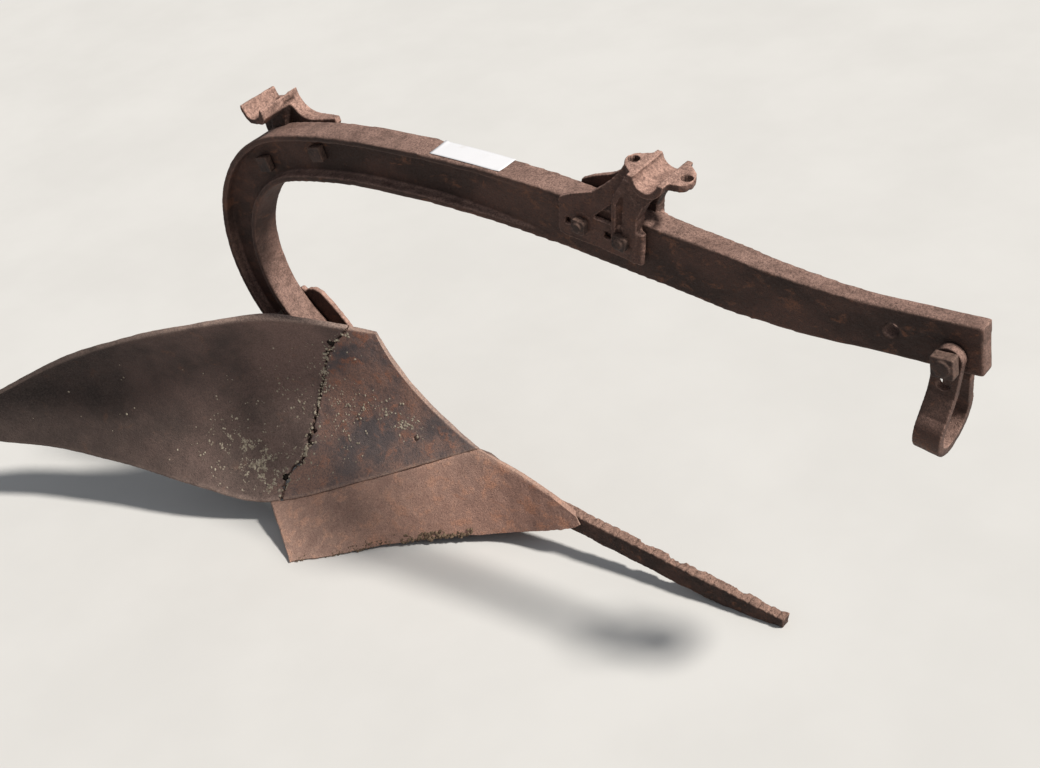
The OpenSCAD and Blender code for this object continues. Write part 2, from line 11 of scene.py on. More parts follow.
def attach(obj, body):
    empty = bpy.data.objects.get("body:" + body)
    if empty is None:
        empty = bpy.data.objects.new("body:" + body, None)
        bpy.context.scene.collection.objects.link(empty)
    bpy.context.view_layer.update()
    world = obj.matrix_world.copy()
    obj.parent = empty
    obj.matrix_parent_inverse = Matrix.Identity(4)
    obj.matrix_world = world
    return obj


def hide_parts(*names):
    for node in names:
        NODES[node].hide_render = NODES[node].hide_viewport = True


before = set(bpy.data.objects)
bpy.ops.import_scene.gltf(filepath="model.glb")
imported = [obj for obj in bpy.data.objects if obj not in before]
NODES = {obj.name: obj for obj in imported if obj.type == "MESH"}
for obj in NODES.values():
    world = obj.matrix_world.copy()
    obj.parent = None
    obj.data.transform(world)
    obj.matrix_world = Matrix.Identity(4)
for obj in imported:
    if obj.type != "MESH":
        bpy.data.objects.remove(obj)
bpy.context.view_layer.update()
MM = 0.001
METRES = Matrix.Scale(MM, 4)
BODY = "plough"


def link(name, mesh):
    obj = bpy.data.objects.new(name, mesh)
    bpy.context.scene.collection.objects.link(obj)
    return obj


# Node materials
class Tree:
    """A material's node tree with short ways to add and join nodes."""

    def __init__(self, name):
        self.mat = bpy.data.materials.new(name)
        self.mat.use_nodes = True
        self.nodes = self.mat.node_tree.nodes
        self.links = self.mat.node_tree.links
        self.bsdf = self.nodes["Principled BSDF"]
        self.coord = self.nodes.new("ShaderNodeTexCoord").outputs["Object"]

    def put(self, value, socket):
        if isinstance(value, bpy.types.NodeSocket):
            self.links.new(value, socket)
        elif isinstance(value, tuple) and len(value) == 3 and socket.type == "RGBA":
            socket.default_value = (*value, 1.0)
        else:
            socket.default_value = value

    def mapped(self, stretch):
        if stretch is None:
            return self.coord
        m = self.nodes.new("ShaderNodeMapping")
        m.inputs["Scale"].default_value = stretch
        self.links.new(self.coord, m.inputs["Vector"])
        return m.outputs["Vector"]

    def noise(self, scale, detail=4.0, rough=0.6, stretch=None, distort=0.0):
        n = self.nodes.new("ShaderNodeTexNoise")
        n.inputs["Scale"].default_value = scale
        n.inputs["Detail"].default_value = detail
        n.inputs["Roughness"].default_value = rough
        n.inputs["Distortion"].default_value = distort
        self.links.new(self.mapped(stretch), n.inputs["Vector"])
        return n.outputs["Fac"]

    def cells(self, scale):
        n = self.nodes.new("ShaderNodeTexVoronoi")
        n.inputs["Scale"].default_value = scale
        self.links.new(self.coord, n.inputs["Vector"])
        return n.outputs["Distance"]

    def ramp(self, value, low, high, a=0.0, b=1.0):
        n = self.nodes.new("ShaderNodeMapRange")
        n.interpolation_type = "SMOOTHSTEP"
        for key, v in (("Value", value), ("From Min", low), ("From Max", high), ("To Min", a), ("To Max", b)):
            self.put(v, n.inputs[key])
        return n.outputs["Result"]

    def mix(self, fac, a, b, blend="MIX"):
        n = self.nodes.new("ShaderNodeMix")
        n.data_type = "RGBA"
        n.blend_type = blend
        self.put(fac, n.inputs[0])
        self.put(a, n.inputs[6])
        self.put(b, n.inputs[7])
        return n.outputs[2]

    def math(self, op, a, b=0.0):
        n = self.nodes.new("ShaderNodeMath")
        n.operation = op
        self.put(a, n.inputs[0])
        self.put(b, n.inputs[1])
        return n.outputs[0]

    def grey(self, value):
        n = self.nodes.new("ShaderNodeCombineColor")
        for socket in n.inputs:
            self.put(value, socket)
        return n.outputs[0]

    def attribute(self, name):
        n = self.nodes.new("ShaderNodeAttribute")
        n.attribute_name = name
        return n.outputs["Fac"]

    def bump(self, height, distance):
        n = self.nodes.new("ShaderNodeBump")
        n.inputs["Distance"].default_value = distance
        self.links.new(height, n.inputs["Height"])
        return n.outputs["Normal"]


# Faces turned towards this side, the key sun's side, get pale colour: partly dust, partly painted sunlight
PAINTED_SUN_SIDE = (0.5, 0.0, 0.86)
# Painted shading on the moldboard's colour: painted shade darker towards its tail, painted light brighter
# towards the weld, between these places in metres
TAIL_FROM, TAIL_TO, TAIL_PAINTED_SHADE, WELD_PAINTED_LIGHT = -0.42, -0.06, 0.42, 1.40


def rust(name, dark, mid, warm, dust_and_sunlit, patch=9.0, warm_from=0.54, warm_most=0.85, sunlit_dust_most=0.85,
         depth=0.0012, stretch=None, painted_tail_shading=False):
    """Old rust: brown patches, warm blooms, pale dust mixed with painted sunlight on the sun-facing side,
    worn rims, grain and pits; for the moldboard also painted shade towards its tail and painted light near
    its weld.
    """
    t = Tree(name)
    geo = t.nodes.new("ShaderNodeNewGeometry")
    sun_facing = t.nodes.new("ShaderNodeVectorMath")
    sun_facing.operation = "DOT_PRODUCT"
    sun_facing.inputs[1].default_value = PAINTED_SUN_SIDE
    t.links.new(geo.outputs["Normal"], sun_facing.inputs[0])
    broad = t.noise(patch, 6.0, 0.62, stretch)
    middle = t.noise(patch * 5.3, 7.0, 0.66, stretch, 0.4)
    fine = t.noise(380.0, 5.0, 0.7)
    grain = t.noise(1500.0, 2.0, 0.5)
    colour = t.mix(t.ramp(broad, 0.38, 0.6), dark, mid)
    colour = t.mix(t.ramp(middle, warm_from, warm_from + 0.14, 0.0, warm_most), colour, warm)
    # Painted sunlight mixed with dust: the more a face turns to the sun's side, the paler it gets
    sunlit_dust = t.ramp(sun_facing.outputs["Value"], 0.1, 0.85, 0.0, sunlit_dust_most)
    colour = t.mix(t.math("MULTIPLY", sunlit_dust, t.ramp(middle, 0.3, 0.62, 0.5, 1.0)), colour, dust_and_sunlit)
    colour = t.mix(t.ramp(geo.outputs["Pointiness"], 0.52, 0.58, 0.0, 0.45), colour, dust_and_sunlit)
    worn = t.math("MULTIPLY", t.attribute("wear"), t.ramp(middle, 0.3, 0.6, 0.35, 0.95))
    colour = t.mix(worn, colour, dust_and_sunlit)
    # Painted shade and light: colour multiplied darker towards the tail and brighter towards the weld, along
    # x
    if painted_tail_shading:
        place = t.nodes.new("ShaderNodeSeparateXYZ")
        t.links.new(t.coord, place.inputs[0])
        painted_shading = t.grey(t.ramp(place.outputs["X"], TAIL_FROM, TAIL_TO, TAIL_PAINTED_SHADE, WELD_PAINTED_LIGHT))
        colour = t.mix(1.0, colour, painted_shading, "MULTIPLY")
    colour = t.mix(t.ramp(fine, 0.32, 0.6, 0.6, 0.0), colour, dark)
    colour = t.mix(1.0, colour, t.grey(t.ramp(grain, 0.3, 0.7, 0.66, 1.3)), "MULTIPLY")
    t.put(colour, t.bsdf.inputs["Base Color"])
    t.put(t.ramp(fine, 0.25, 0.75, 0.66, 0.92), t.bsdf.inputs["Roughness"])
    t.bsdf.inputs["Specular IOR Level"].default_value = 0.3
    height = t.math("MULTIPLY", t.ramp(t.cells(330.0), 0.0, 0.35), 0.45)
    for wave, part in ((fine, 0.8), (middle, 1.2), (grain, 0.2)):
        height = t.math("ADD", height, t.math("MULTIPLY", wave, part))
    t.put(t.bump(height, depth), t.bsdf.inputs["Normal"])
    return t.mat


# Palette, linear colours
BROWN_DARK = (0.036, 0.020, 0.016)
BROWN_MID = (0.085, 0.043, 0.033)
BROWN_WARM = (0.190, 0.080, 0.045)
# Pale dust, also used as painted sunlight on faces turned to the sun
DUST_AND_SUNLIGHT = (0.430, 0.270, 0.220)

STEEL = rust("beam_rust", BROWN_DARK, BROWN_MID, BROWN_WARM, DUST_AND_SUNLIGHT, warm_most=0.6, stretch=(1.0, 1.0, 1.6))
CAST = rust("cast_rust", BROWN_DARK, (0.105, 0.054, 0.042), BROWN_WARM, (0.660, 0.410, 0.330),
            patch=16.0, warm_most=0.6)
PLATE = rust("moldboard_rust", (0.060, 0.042, 0.038), (0.140, 0.090, 0.078), (0.190, 0.095, 0.062),
             (0.300, 0.215, 0.180), patch=7.0, warm_from=0.58, warm_most=0.6, sunlit_dust_most=0.3, painted_tail_shading=True)
SHIN = rust("shin_rust", (0.085, 0.074, 0.080), (0.290, 0.163, 0.125), (0.350, 0.140, 0.080),
            (0.440, 0.300, 0.240), patch=12.0, warm_from=0.52, warm_most=0.7, sunlit_dust_most=0.3)
SHARE = rust("share_rust", (0.250, 0.145, 0.118), (0.400, 0.222, 0.170), (0.520, 0.240, 0.150),
             (0.600, 0.410, 0.320), patch=10.0, warm_from=0.5, sunlit_dust_most=0.5)
BAR = rust("bar_rust", BROWN_DARK, (0.100, 0.050, 0.038), (0.220, 0.090, 0.050), (0.480, 0.300, 0.235),
           patch=14.0, depth=0.0016)
BOLT = rust("bolt_rust", (0.026, 0.017, 0.015), (0.070, 0.042, 0.035), BROWN_WARM, (0.260, 0.165, 0.130),
            patch=30.0, warm_most=0.4, depth=0.0009)


def paper():
    t = Tree("label_paper")
    fibres = t.noise(900.0, 3.0, 0.6)
    stain = t.noise(45.0, 5.0, 0.6)
    colour = t.mix(t.ramp(fibres, 0.3, 0.7, 0.0, 0.25), (0.84, 0.84, 0.87), (0.76, 0.76, 0.79))
    colour = t.mix(t.ramp(stain, 0.55, 0.8, 0.0, 0.4), colour, (0.66, 0.61, 0.56))
    t.put(colour, t.bsdf.inputs["Base Color"])
    t.bsdf.inputs["Roughness"].default_value = 0.75
    t.put(t.bump(fibres, 0.0001), t.bsdf.inputs["Normal"])
    return t.mat


def soil(name, dark, light):
    t = Tree(name)
    clump = t.noise(220.0, 6.0, 0.7)
    colour = t.mix(t.ramp(clump, 0.35, 0.65), dark, light)
    t.put(colour, t.bsdf.inputs["Base Color"])
    t.bsdf.inputs["Roughness"].default_value = 0.95
    t.bsdf.inputs["Specular IOR Level"].default_value = 0.2
    t.put(t.bump(clump, 0.0012), t.bsdf.inputs["Normal"])
    return t.mat


PAPER = paper()
# Near-black colour of the plugs sunk in the burnt holes: painted shade
HOLE_SHADE = soil("painted_hole_shade", (0.010, 0.008, 0.007), (0.024, 0.019, 0.015))
DIRT = soil("dry_soil", (0.225, 0.185, 0.140), (0.480, 0.420, 0.330))
CAKED = soil("caked_soil", (0.095, 0.062, 0.042), (0.260, 0.185, 0.125))


# Beam path, the same segments as in the source: length in millimetres, turn in degrees
SHANK_LEAN, CROWN_TILT, SLOPE = 42.4, 0.8, 10.4
FOOT_TURN, FALL_TURN = 25.0, 10.0
NECK_R, NECK_D, MID_D = 158.5, 59.0, 64.0
NECK_TURN = 90 + SHANK_LEAN - FOOT_TURN - FALL_TURN - CROWN_TILT
NECK_L = math.radians(NECK_R * NECK_TURN)
SEGMENTS = [(40, 0), (65, -FOOT_TURN), (NECK_L, -NECK_TURN), (139, -FALL_TURN),
            (330, -SLOPE - CROWN_TILT), (126, 0), (150, SLOPE + CROWN_TILT - 1), (106, 0)]
PATH_START = (-104.0, 204.5, 90 + SHANK_LEAN)
MID_SADDLE_ON = 38.0


def hop(length, heading, turn):
    half = math.radians(turn / 2)
    reach = length * (math.sin(half) / half if abs(turn) > 0.001 else 1)
    way = math.radians(heading) + half
    return reach * math.cos(way), reach * math.sin(way)


def beam_at(s):
    """Place x, z and heading of the beam's middle line at distance s."""
    x, z, heading = PATH_START
    for length, turn in SEGMENTS:
        part = min(1.0, s / length)
        dx, dz = hop(length * part, heading, turn * part)
        x, z, heading = x + dx, z + dz, heading + turn * part
        s -= length
        if s <= 0:
            break
    return x, z, heading


def beam_frame(s):
    """Matrix from millimetres along, to landside of and across the beam into the scene's metres."""
    x, z, heading = beam_at(s)
    turn = Matrix.Rotation(math.radians(-heading), 4, "Y")
    return Matrix.Translation((x * MM, 0, z * MM)) @ turn @ METRES


CROWN_S = sum(g[0] for g in SEGMENTS[:3])
FALL_S = CROWN_S + SEGMENTS[3][0]
SLOPE_S = FALL_S + SEGMENTS[4][0]
MID_FRAME = beam_frame(SLOPE_S + MID_SADDLE_ON)
CROWN_FRAME = beam_frame(CROWN_S)


# Closed solids in a frame of millimetres; a cut through everything reaches this far
CUT_REACH = 60.0


def add_block(bm, points, low, high, place, frame_matrix):
    """Closed prism of an outline: place(point, height) gives a spot of the frame at low and at high."""
    ends = [[bm.verts.new(frame_matrix @ Vector(place(p, h))) for p in points] for h in (low, high)]
    count = len(points)
    made = [bm.faces.new(ends[0][::-1]), bm.faces.new(ends[1])]
    for k in range(count):
        j = (k + 1) % count
        bm.faces.new([ends[0][k], ends[0][j], ends[1][j], ends[1][k]])
    bmesh.ops.triangulate(bm, faces=made)


def add_prism(bm, points, y0, y1, frame_matrix, lean=lambda n: 1.0):
    """Prism across the beam of an outline of (along, across) points; lean scales y with the height."""
    add_block(bm, points, min(y0, y1), max(y0, y1), lambda p, y: (p[0], y * lean(p[1]), p[1]), frame_matrix)


def add_plate(bm, points, n0, n1, frame_matrix):
    """Plate along the beam of an outline of (along, y) points."""
    add_block(bm, points, n0, n1, lambda p, n: (p[0], p[1], n), frame_matrix)


def add_strip(bm, pairs, y0, y1, frame_matrix, lean):
    """Prism cut into slices that can lean: pairs are opposite points of its two long sides."""
    for one, two in zip(pairs, pairs[1:]):
        add_prism(bm, [one[0], two[0], two[1], one[1]], y0, y1, frame_matrix, lean)


def add_drum(bm, at, axis, radius, length, frame_matrix, segments=40):
    turn = Vector(axis).to_track_quat("Z", "Y").to_matrix().to_4x4()
    bmesh.ops.create_cone(bm, cap_ends=True, segments=segments, radius1=radius, radius2=radius, depth=length,
                          matrix=frame_matrix @ Matrix.Translation(at) @ turn)


def arc(centre, radius, start, end, steps):
    """Points of an arc in degrees."""
    angles = [math.radians(start + (end - start) * k / steps) for k in range(steps + 1)]
    return [(centre[0] + radius * math.cos(a), centre[1] + radius * math.sin(a)) for a in angles]


def square(a, n, half):
    return [(a - half, n - half), (a + half, n - half), (a + half, n + half), (a - half, n + half)]


def solid(name, build):
    bm = bmesh.new()
    build(bm)
    bmesh.ops.recalc_face_normals(bm, faces=bm.faces)
    mesh = bpy.data.meshes.new(name)
    bm.to_mesh(mesh)
    bm.free()
    return link(name, mesh)


def evaluated_copy(obj):
    graph = bpy.context.evaluated_depsgraph_get()
    mesh = bpy.data.meshes.new_from_object(obj.evaluated_get(graph))
    obj.modifiers.clear()
    obj.data = mesh
    return obj


def cut(obj, build, overlap=False):
    """Takes away the solids that build makes; overlap says that they cross each other."""
    tool = solid("cutter", build)
    mod = obj.modifiers.new("cut", "BOOLEAN")
    mod.operation = "DIFFERENCE"
    mod.solver = "EXACT"
    mod.use_self = overlap
    mod.object = tool
    evaluated_copy(obj)
    bpy.data.objects.remove(tool)


def cad_copy(node):
    bm = bmesh.new()
    bm.from_mesh(NODES[node].data)
    bmesh.ops.remove_doubles(bm, verts=bm.verts, dist=1e-5)
    mesh = bpy.data.meshes.new(node)
    bm.to_mesh(mesh)
    bm.free()
    return link(node + "_rusty", mesh)


# Weathering: waves of scale per metre and height in metres
WAVES = ((28.0, 0.0006), (120.0, 0.00035), (420.0, 0.0002))
BEAM_WAVES = ((28.0, 0.0005), (120.0, 0.0002))
BOLT_WAVES = ((60.0, 0.0005), (300.0, 0.0002))
PIN_WAVES = ((60.0, 0.00015), (300.0, 0.0001))
STRAP_WAVES = ((28.0, 0.0003), (120.0, 0.0002))
BAR_WAVES = ((30.0, 0.0012), (110.0, 0.0008), (400.0, 0.0003))
PLATE_WAVES = ((14.0, 0.0010), (60.0, 0.0005), (260.0, 0.00028))
SHARE_WAVES = ((16.0, 0.0008), (70.0, 0.0006), (300.0, 0.00028))
WAVE_STEP = 17.3


def rough_up(mesh, waves, seed=0.0):
    """Moves vertices along their normals by noise waves: scale per metre and height in metres."""
    count = len(mesh.vertices)
    co = np.empty(count * 3, np.float32)
    no = np.empty(count * 3, np.float32)
    mesh.vertices.foreach_get("co", co)
    mesh.vertex_normals.foreach_get("vector", no)
    co, no = co.reshape(-1, 3), no.reshape(-1, 3)
    shift = np.zeros(count, np.float32)
    for k, (scale, height) in enumerate(waves):
        at = co * scale + seed + WAVE_STEP * k
        shift += height * np.array([noise.noise(Vector(p)) for p in at], np.float32)
    co = co + no * shift[:, None]
    co[:, 2] = np.maximum(co[:, 2], 0)
    mesh.vertices.foreach_set("co", co.ravel())
    mesh.update()


def finish_mesh(obj, material, body=BODY):
    obj.data.materials.clear()
    obj.data.materials.append(material)
    obj.data.polygons.foreach_set("use_smooth", [True] * len(obj.data.polygons))
    obj.data.update()
    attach(obj, body)


def weather(obj, node, material, voxel=0.002, soften=4, waves=WAVES, body=BODY, seed=0.0, holes=None):
    """Melts the object's solids into one skin, wears and roughens it, and lets it stand for the node."""
    melt = obj.modifiers.new("melt", "REMESH")
    melt.mode = "VOXEL"
    melt.voxel_size = voxel
    if holes:
        evaluated_copy(obj)
        cut(obj, holes)
    smooth = obj.modifiers.new("soften", "SMOOTH")
    smooth.factor = 0.5
    smooth.iterations = soften
    evaluated_copy(obj)
    rough_up(obj.data, waves, seed)
    finish_mesh(obj, material, body)
    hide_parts(node)
    return obj


# Middle saddle in its frame: places along the beam and across it
SADDLE_H, BORE_R, TROUGH_WALL, TROUGH_HALF = 91.0, 13.5, 7.0, 27.0
LEG_Y, LEG_T, EAR_X, EAR_T, EAR_HOLE_R, SLOT_HALF = 16.1, 6.0, 30.0, 9.0, 6.0, 4.5
MID_BOLTS = [(-75.0, 10.0), (-26.0, 10.0)]
BOSS_R, BOSS_T = 13.5, 6.6
SLOTS = [(-92.0, 7.0), (-45.0, 7.0)]
REAR_EAR = [(-13.8, -25), (-24, -19), (-33, -12), (-37, -5), (-37.5, 2), (-35, 9), (-28, 14), (-13.8, 26)]
FRONT_EAR = [(13.8, 26.5), (24, 20), (33, 13), (37, 5), (37.5, -3), (36, -10), (30, -15), (22, -17),
             (13.8, -22)]
LEG_STRIP = [(-104, -4), (-103, -10), (-96, -12), (-60, -11), (-14, -12), (-4, -9), (-3, 4), (-3, 24),
             (-9, 27), (-36, 22), (-70, 22), (-98, 26), (-104, 20)]
LEG_POST = [((-25, 10), (-9, 10)), ((-25, 41), (-9, 41)), ((-26, 56), (-3, 56)), ((-27, 66), (5, 66)),
            ((-26, 74), (8, 74)), ((-18, 82), (-14, 82))]
GROOVE_WALL = [(-36, 12), (-24, 12), (-24, 68), (-36, 58)]
# Round ribs that close the post: place along the beam and radius
POST_ROUNDS, POST_ROUND_H = ((-6, 4), (-12.5, 5)), 36.0
POST_RIB = [((-38, 12), (-33, 12)), ((-38, 50), (-32.5, 50)), ((-37, 60), (-29, 60)), ((-32, 71), (-20, 69)),
            ((-29, 79), (-20, 78))]
ARM = [((-104, 31), (-104, 17)), ((-89, 40.5), (-82, 17)), ((-77, 46), (-70, 17)), ((-65, 51.5), (-61, 24)),
       ((-55, 60), (-48, 38)), ((-46, 69), (-37, 50)), ((-38, 79), (-29, 64)), ((-33, 89), (-16, 82))]
FAR_WALL, FAR_WALL_T = [(-72, 16), (-20, 16), (-20, 70), (-40, 60), (-56, 46)], 5.0
LEAN_FROM, LEAN_H, LEAN_MOST = 52.0, 36.0, 0.34


def arm_lean(n):
    """The arms draw in towards the ears above the beam."""
    return 1.0 - LEAN_MOST * min(1.0, max(0.0, (n - LEAN_FROM) / LEAN_H))


def make_mid_saddle():
    def body(bm):
        seat = (0, SADDLE_H)
        bowl = arc(seat, BORE_R + TROUGH_WALL, 180, 360, 24) + arc(seat, BORE_R, 360, 180, 20)
        add_prism(bm, bowl, -TROUGH_HALF, TROUGH_HALF, MID_FRAME)
        for ear in (REAR_EAR, FRONT_EAR):
            add_plate(bm, ear, SADDLE_H - EAR_T, SADDLE_H, MID_FRAME)
        for side in (-1, 1):
            face = side * LEG_Y
            add_prism(bm, LEG_STRIP, face, side * (LEG_Y + LEG_T), MID_FRAME)
            for a, n in MID_BOLTS:
                add_drum(bm, (a, side * (LEG_Y + 3.6), n - 1), (0, 1, 0), BOSS_R, BOSS_T, MID_FRAME)
            add_strip(bm, LEG_POST, face * 0.6, side * (LEG_Y + 9.5), MID_FRAME, arm_lean)
            add_prism(bm, GROOVE_WALL, face, side * (LEG_Y + 4), MID_FRAME)
            add_strip(bm, POST_RIB, face * 0.9, side * (LEG_Y + 10.5), MID_FRAME, arm_lean)
            add_strip(bm, ARM, face, side * (LEG_Y + LEG_T), MID_FRAME, arm_lean)
            for a, radius in POST_ROUNDS:
                add_drum(bm, (a, side * (LEG_Y + 4), 7), (0, 0, 1), radius, POST_ROUND_H, MID_FRAME, 24)
        add_prism(bm, FAR_WALL, LEG_Y, LEG_Y + FAR_WALL_T, MID_FRAME)

    def holes(bm):
        for x in (-EAR_X, EAR_X):
            add_drum(bm, (x, 0, SADDLE_H - 4), (0, 0, 1), EAR_HOLE_R, 24, MID_FRAME)
        for a, n in SLOTS:
            add_prism(bm, square(a, n, SLOT_HALF), -CUT_REACH, CUT_REACH, MID_FRAME)

    obj = solid("mid_saddle_rusty", body)
    weather(obj, "mid_saddle", CAST, 0.0011, 4, seed=7.0, holes=holes)


# Rear saddle in the crown's frame: a narrow trough with a low front lip, and the fin's upper end
REAR_BOWL = [(-29, 72), (-30, 66), (-28, 56), (-22, 49.5), (-13, 47), (-5, 48.5), (1, 53), (3.5, 59),
             (4.5, 64.5), (1.5, 65), (-1, 60), (-5, 56), (-12, 54), (-19, 55.5), (-23, 60), (-24.5, 66),
             (-25, 72)]
REAR_LIP = [(-8, 47), (-3, 46), (4.5, 52), (5, 64.5), (1, 64)]
REAR_WEB = [(-40, 26), (-14, 26), (-6, 40), (2, 52), (-14, 54), (-24, 52)]
FIN_END = [(-7, 44), (0, 44), (1.5, 66), (-4, 61)]
FIN_C, FIN_R, REAR_LEG_Y = (30.5, 61.0), 30.5, 19.3
# What goes from the source's saddle: its seat beside the leg, and what stands above the fin
OLD_SEAT = [(-40, 42), (33, 42), (33, 95), (-40, 95)]
OLD_TOP = [(-40, 60), (60, 60), (60, 95), (-40, 95)]
NEAR_REACH = -45.0


def make_rear_saddle():
    def seat(bm):
        add_prism(bm, OLD_SEAT, NEAR_REACH, REAR_LEG_Y, CROWN_FRAME)

    def top(bm):
        add_prism(bm, OLD_TOP, NEAR_REACH, CUT_REACH, CROWN_FRAME)

    def hollow(bm):
        add_drum(bm, (FIN_C[0], 35, FIN_C[1]), (0, 1, 0), FIN_R, 34, CROWN_FRAME, 64)

    obj = cad_copy("rear_saddle")
    for build in (seat, top, hollow):
        cut(obj, build)

    def extra(bm):
        bm.from_mesh(obj.data)
        add_prism(bm, REAR_BOWL, -TROUGH_HALF, TROUGH_HALF, CROWN_FRAME)
        add_prism(bm, REAR_LIP, -TROUGH_HALF, 8, CROWN_FRAME)
        add_prism(bm, REAR_WEB, 10, REAR_LEG_Y + 4, CROWN_FRAME)
        add_prism(bm, FIN_END, REAR_LEG_Y + 1, REAR_LEG_Y + 17, CROWN_FRAME)

    whole = solid("rear_saddle_skin", extra)
    bpy.data.objects.remove(obj)
    weather(whole, "rear_saddle", CAST, 0.0012, 5, seed=6.0)


BOLT_END_R, SHANK_R = 5.2, 6.0


def worn_square(a, n, width, turn):
    """Outline of a square head whose four corners are cut off by wear."""
    outline = []
    for k in range(8):
        angle = math.radians(turn + 90 * (k // 2) + 45 + (9 if k % 2 else -9))
        outline.append((a + width * 0.67 * math.cos(angle), n + width * 0.67 * math.sin(angle)))
    return outline


def make_bolts(name, node, frame_matrix, bolts, faces, width, height, seed):
    """Square heads on their shanks: bolts are places, faces the y that heads sit on."""
    middle, length = sum(faces) / 2, abs(faces[-1] - faces[0]) + height

    def body(bm):
        rng = random.Random(seed)
        for a, n in bolts:
            for face in faces:
                side = math.copysign(1, face - middle)
                head = worn_square(a, n, width, rng.uniform(-9, 9))
                add_prism(bm, head, face, face + side * height, frame_matrix)
                end = (a, face + side * (height + 0.6), n)
                add_drum(bm, end, (0, 1, 0), BOLT_END_R, 3.2, frame_matrix, 20)
            add_drum(bm, (a, middle, n), (0, 1, 0), SHANK_R, length, frame_matrix, 24)

    weather(solid(name, body), node, BOLT, 0.0009, 6, BOLT_WAVES, seed=seed)


# Pocket of the frog behind its thin far rim: x and z, then from and to across, in millimetres
POCKET = [(-172, 214), (-30, 214), (-30, 300), (-172, 300)]
POCKET_Y = (-8.5, 20.5)


def make_frog():
    obj = cad_copy("frog")
    cut(obj, lambda bm: add_prism(bm, POCKET, *POCKET_Y, METRES))
    weather(obj, "frog", CAST, 0.0018, 4, seed=2.0)


# Bar point: notches broken out of its far edge, places along x with their width and depth in millimetres
BAR_NOTCHES = [(376, 14, 4.0), (420, 22, 4.5), (452, 8, 2.5), (511, 12, 3.5), (545, 7, 2.5)]
BAR_FAR, BITE_R, BITE_Z, BITE_H = 14.0, 5.0, 55.0, 120.0


def make_bar():
    def notches(bm):
        for x, width, deep in BAR_NOTCHES:
            for k in (-1, 0, 1):
                at = (x + k * width * 0.3, BAR_FAR + BITE_R - deep, BITE_Z)
                add_drum(bm, at, (0.3, 0, 1), BITE_R, BITE_H, METRES, 12)

    obj = cad_copy("bar_point")
    cut(obj, notches, overlap=True)
    weather(obj, "bar_point", BAR, 0.0014, 3, BAR_WAVES, seed=4.0)


# Curved plates: the same stations as the source, columns lower x y z, upper x y z, hollow; millimetres
STATIONS = np.array([
    [142, 0, 118, 11, 0, 254, 22],
    [10, -70, 76, -74, -42, 275, 42],
    [-124, -131, 38, -122, -70, 284, 52],
    [-212, -169, 59, -205, -123, 279, 46],
    [-316, -195, 79, -289, -156, 259, 36],
    [-419, -226, 97, -393, -193, 222, 26],
    [-500, -264, 109, -491, -240, 175, 12],
    [-545, -290, 122, -545, -272, 148, 3]], float)
LAST = len(STATIONS) - 1
PLATE_T, STEP = 8.0, 0.01
# Lengths along and up, to size the plates' rims
BOARD_L, SHIN_L, PLATE_H = 600.0, 200.0, 200.0


def curve(a, b, c, d, t):
    """Smooth curve from b to c that passes its neighbours a and d."""
    square_part, cube_part = 2 * a - 5 * b + 4 * c - d, 3 * b - a - 3 * c + d
    return 0.5 * (2 * b + (c - a) * t + square_part * t * t + cube_part * t ** 3)


def curve_through(points, w):
    """Points of a smooth line through the rows at w, from 0 to the last row."""
    last = len(points) - 1
    i = np.minimum(last - 1, np.floor(w)).astype(int)
    near = [points[np.clip(i + k, 0, last)] for k in (-1, 0, 1, 2)]
    return curve(*near, (w - i)[..., None])


def row_at(u):
    return curve_through(STATIONS, np.clip(u, 0, 1) * LAST)


def face_pt(u, v):
    """Points of the plates' front face at u along and v up them; the hollow is deepest halfway up."""
    r = row_at(u)
    a, b = row_at(np.maximum(0, u - STEP)), row_at(np.minimum(1, u + STEP))
    dx, dy = b[..., 0] + b[..., 3] - a[..., 0] - a[..., 3], b[..., 1] + b[..., 4] - a[..., 1] - a[..., 4]
    size = np.hypot(dx, dy)
    k = np.minimum(1, u * 5)
    mx, my = k - 1 + k * dy / size, -k * dx / size
    size = np.hypot(mx, my)
    q = r[..., 6] * 4 * v * (1 - v)
    vv = v[..., None]
    base = r[..., 0:3] * (1 - vv) + r[..., 3:6] * vv
    return base + q[..., None] * np.stack([mx / size, my / size, np.full_like(mx, -0.25)], -1)


def face_normal(u, v):
    a = face_pt(np.minimum(1, u + STEP), v) - face_pt(np.maximum(0, u - STEP), v)
    b = face_pt(u, np.minimum(1, v + STEP)) - face_pt(u, np.maximum(0, v - STEP))
    c = np.cross(b, a)
    return c / np.linalg.norm(c, axis=-1, keepdims=True)


# Line of the joint between shin and moldboard: heights, then places along
WELD_V = [0, 0.05, 0.1, 0.14, 0.175, 0.255, 0.365, 0.47, 0.63, 0.705, 0.77, 0.845, 0.95, 1]
WELD_U = [0.268, 0.268, 0.266, 0.252, 0.240, 0.230, 0.215, 0.198, 0.150, 0.130, 0.114, 0.096, 0.070, 0.058]


def weld_u(v):
    return np.interp(v, WELD_V, WELD_U)


def eased(n, edge):
    """Values from 0 to 1 with close lines at both ends, for a rounded rim."""
    inner = np.linspace(edge * 2, 1 - edge * 2, n)
    return np.concatenate([[0, edge * 0.3, edge], inner, [1 - edge, 1 - edge * 0.3, 1]])


